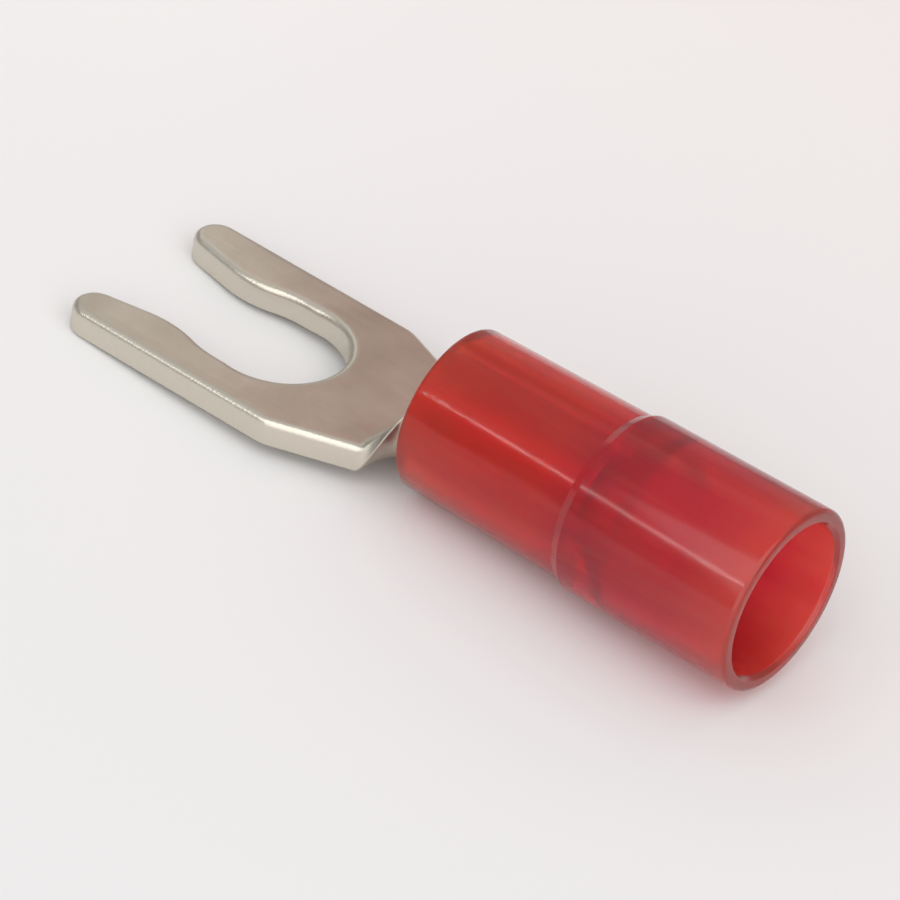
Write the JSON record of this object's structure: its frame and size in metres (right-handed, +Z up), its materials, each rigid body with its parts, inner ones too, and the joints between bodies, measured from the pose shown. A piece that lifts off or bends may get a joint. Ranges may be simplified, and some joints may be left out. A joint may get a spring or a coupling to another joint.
{
  "type": "fork terminal",
  "caption": "Insulated fork terminal: flat fork tongue that slips under a stud screw, rolled wire barrel, and a red nylon sleeve with a funnelled wire entry.",
  "frame": {"origin": "centre of the stud slot on the underside of the tongue", "axes": "+X along the terminal towards the tine tips, +Z up through the stud slot, with the wire barrel above the tongue's underside"},
  "size_m": [0.0216, 0.0064, 0.0052],
  "materials": {
    "tinned_copper": "bright tin plate over rolled copper sheet",
    "red_nylon": "translucent injection-moulded nylon"
  },
  "bodies": {
    "root": {"fork_lug": "tinned_copper", "sleeve": "red_nylon"}
  },
  "joints": []
}
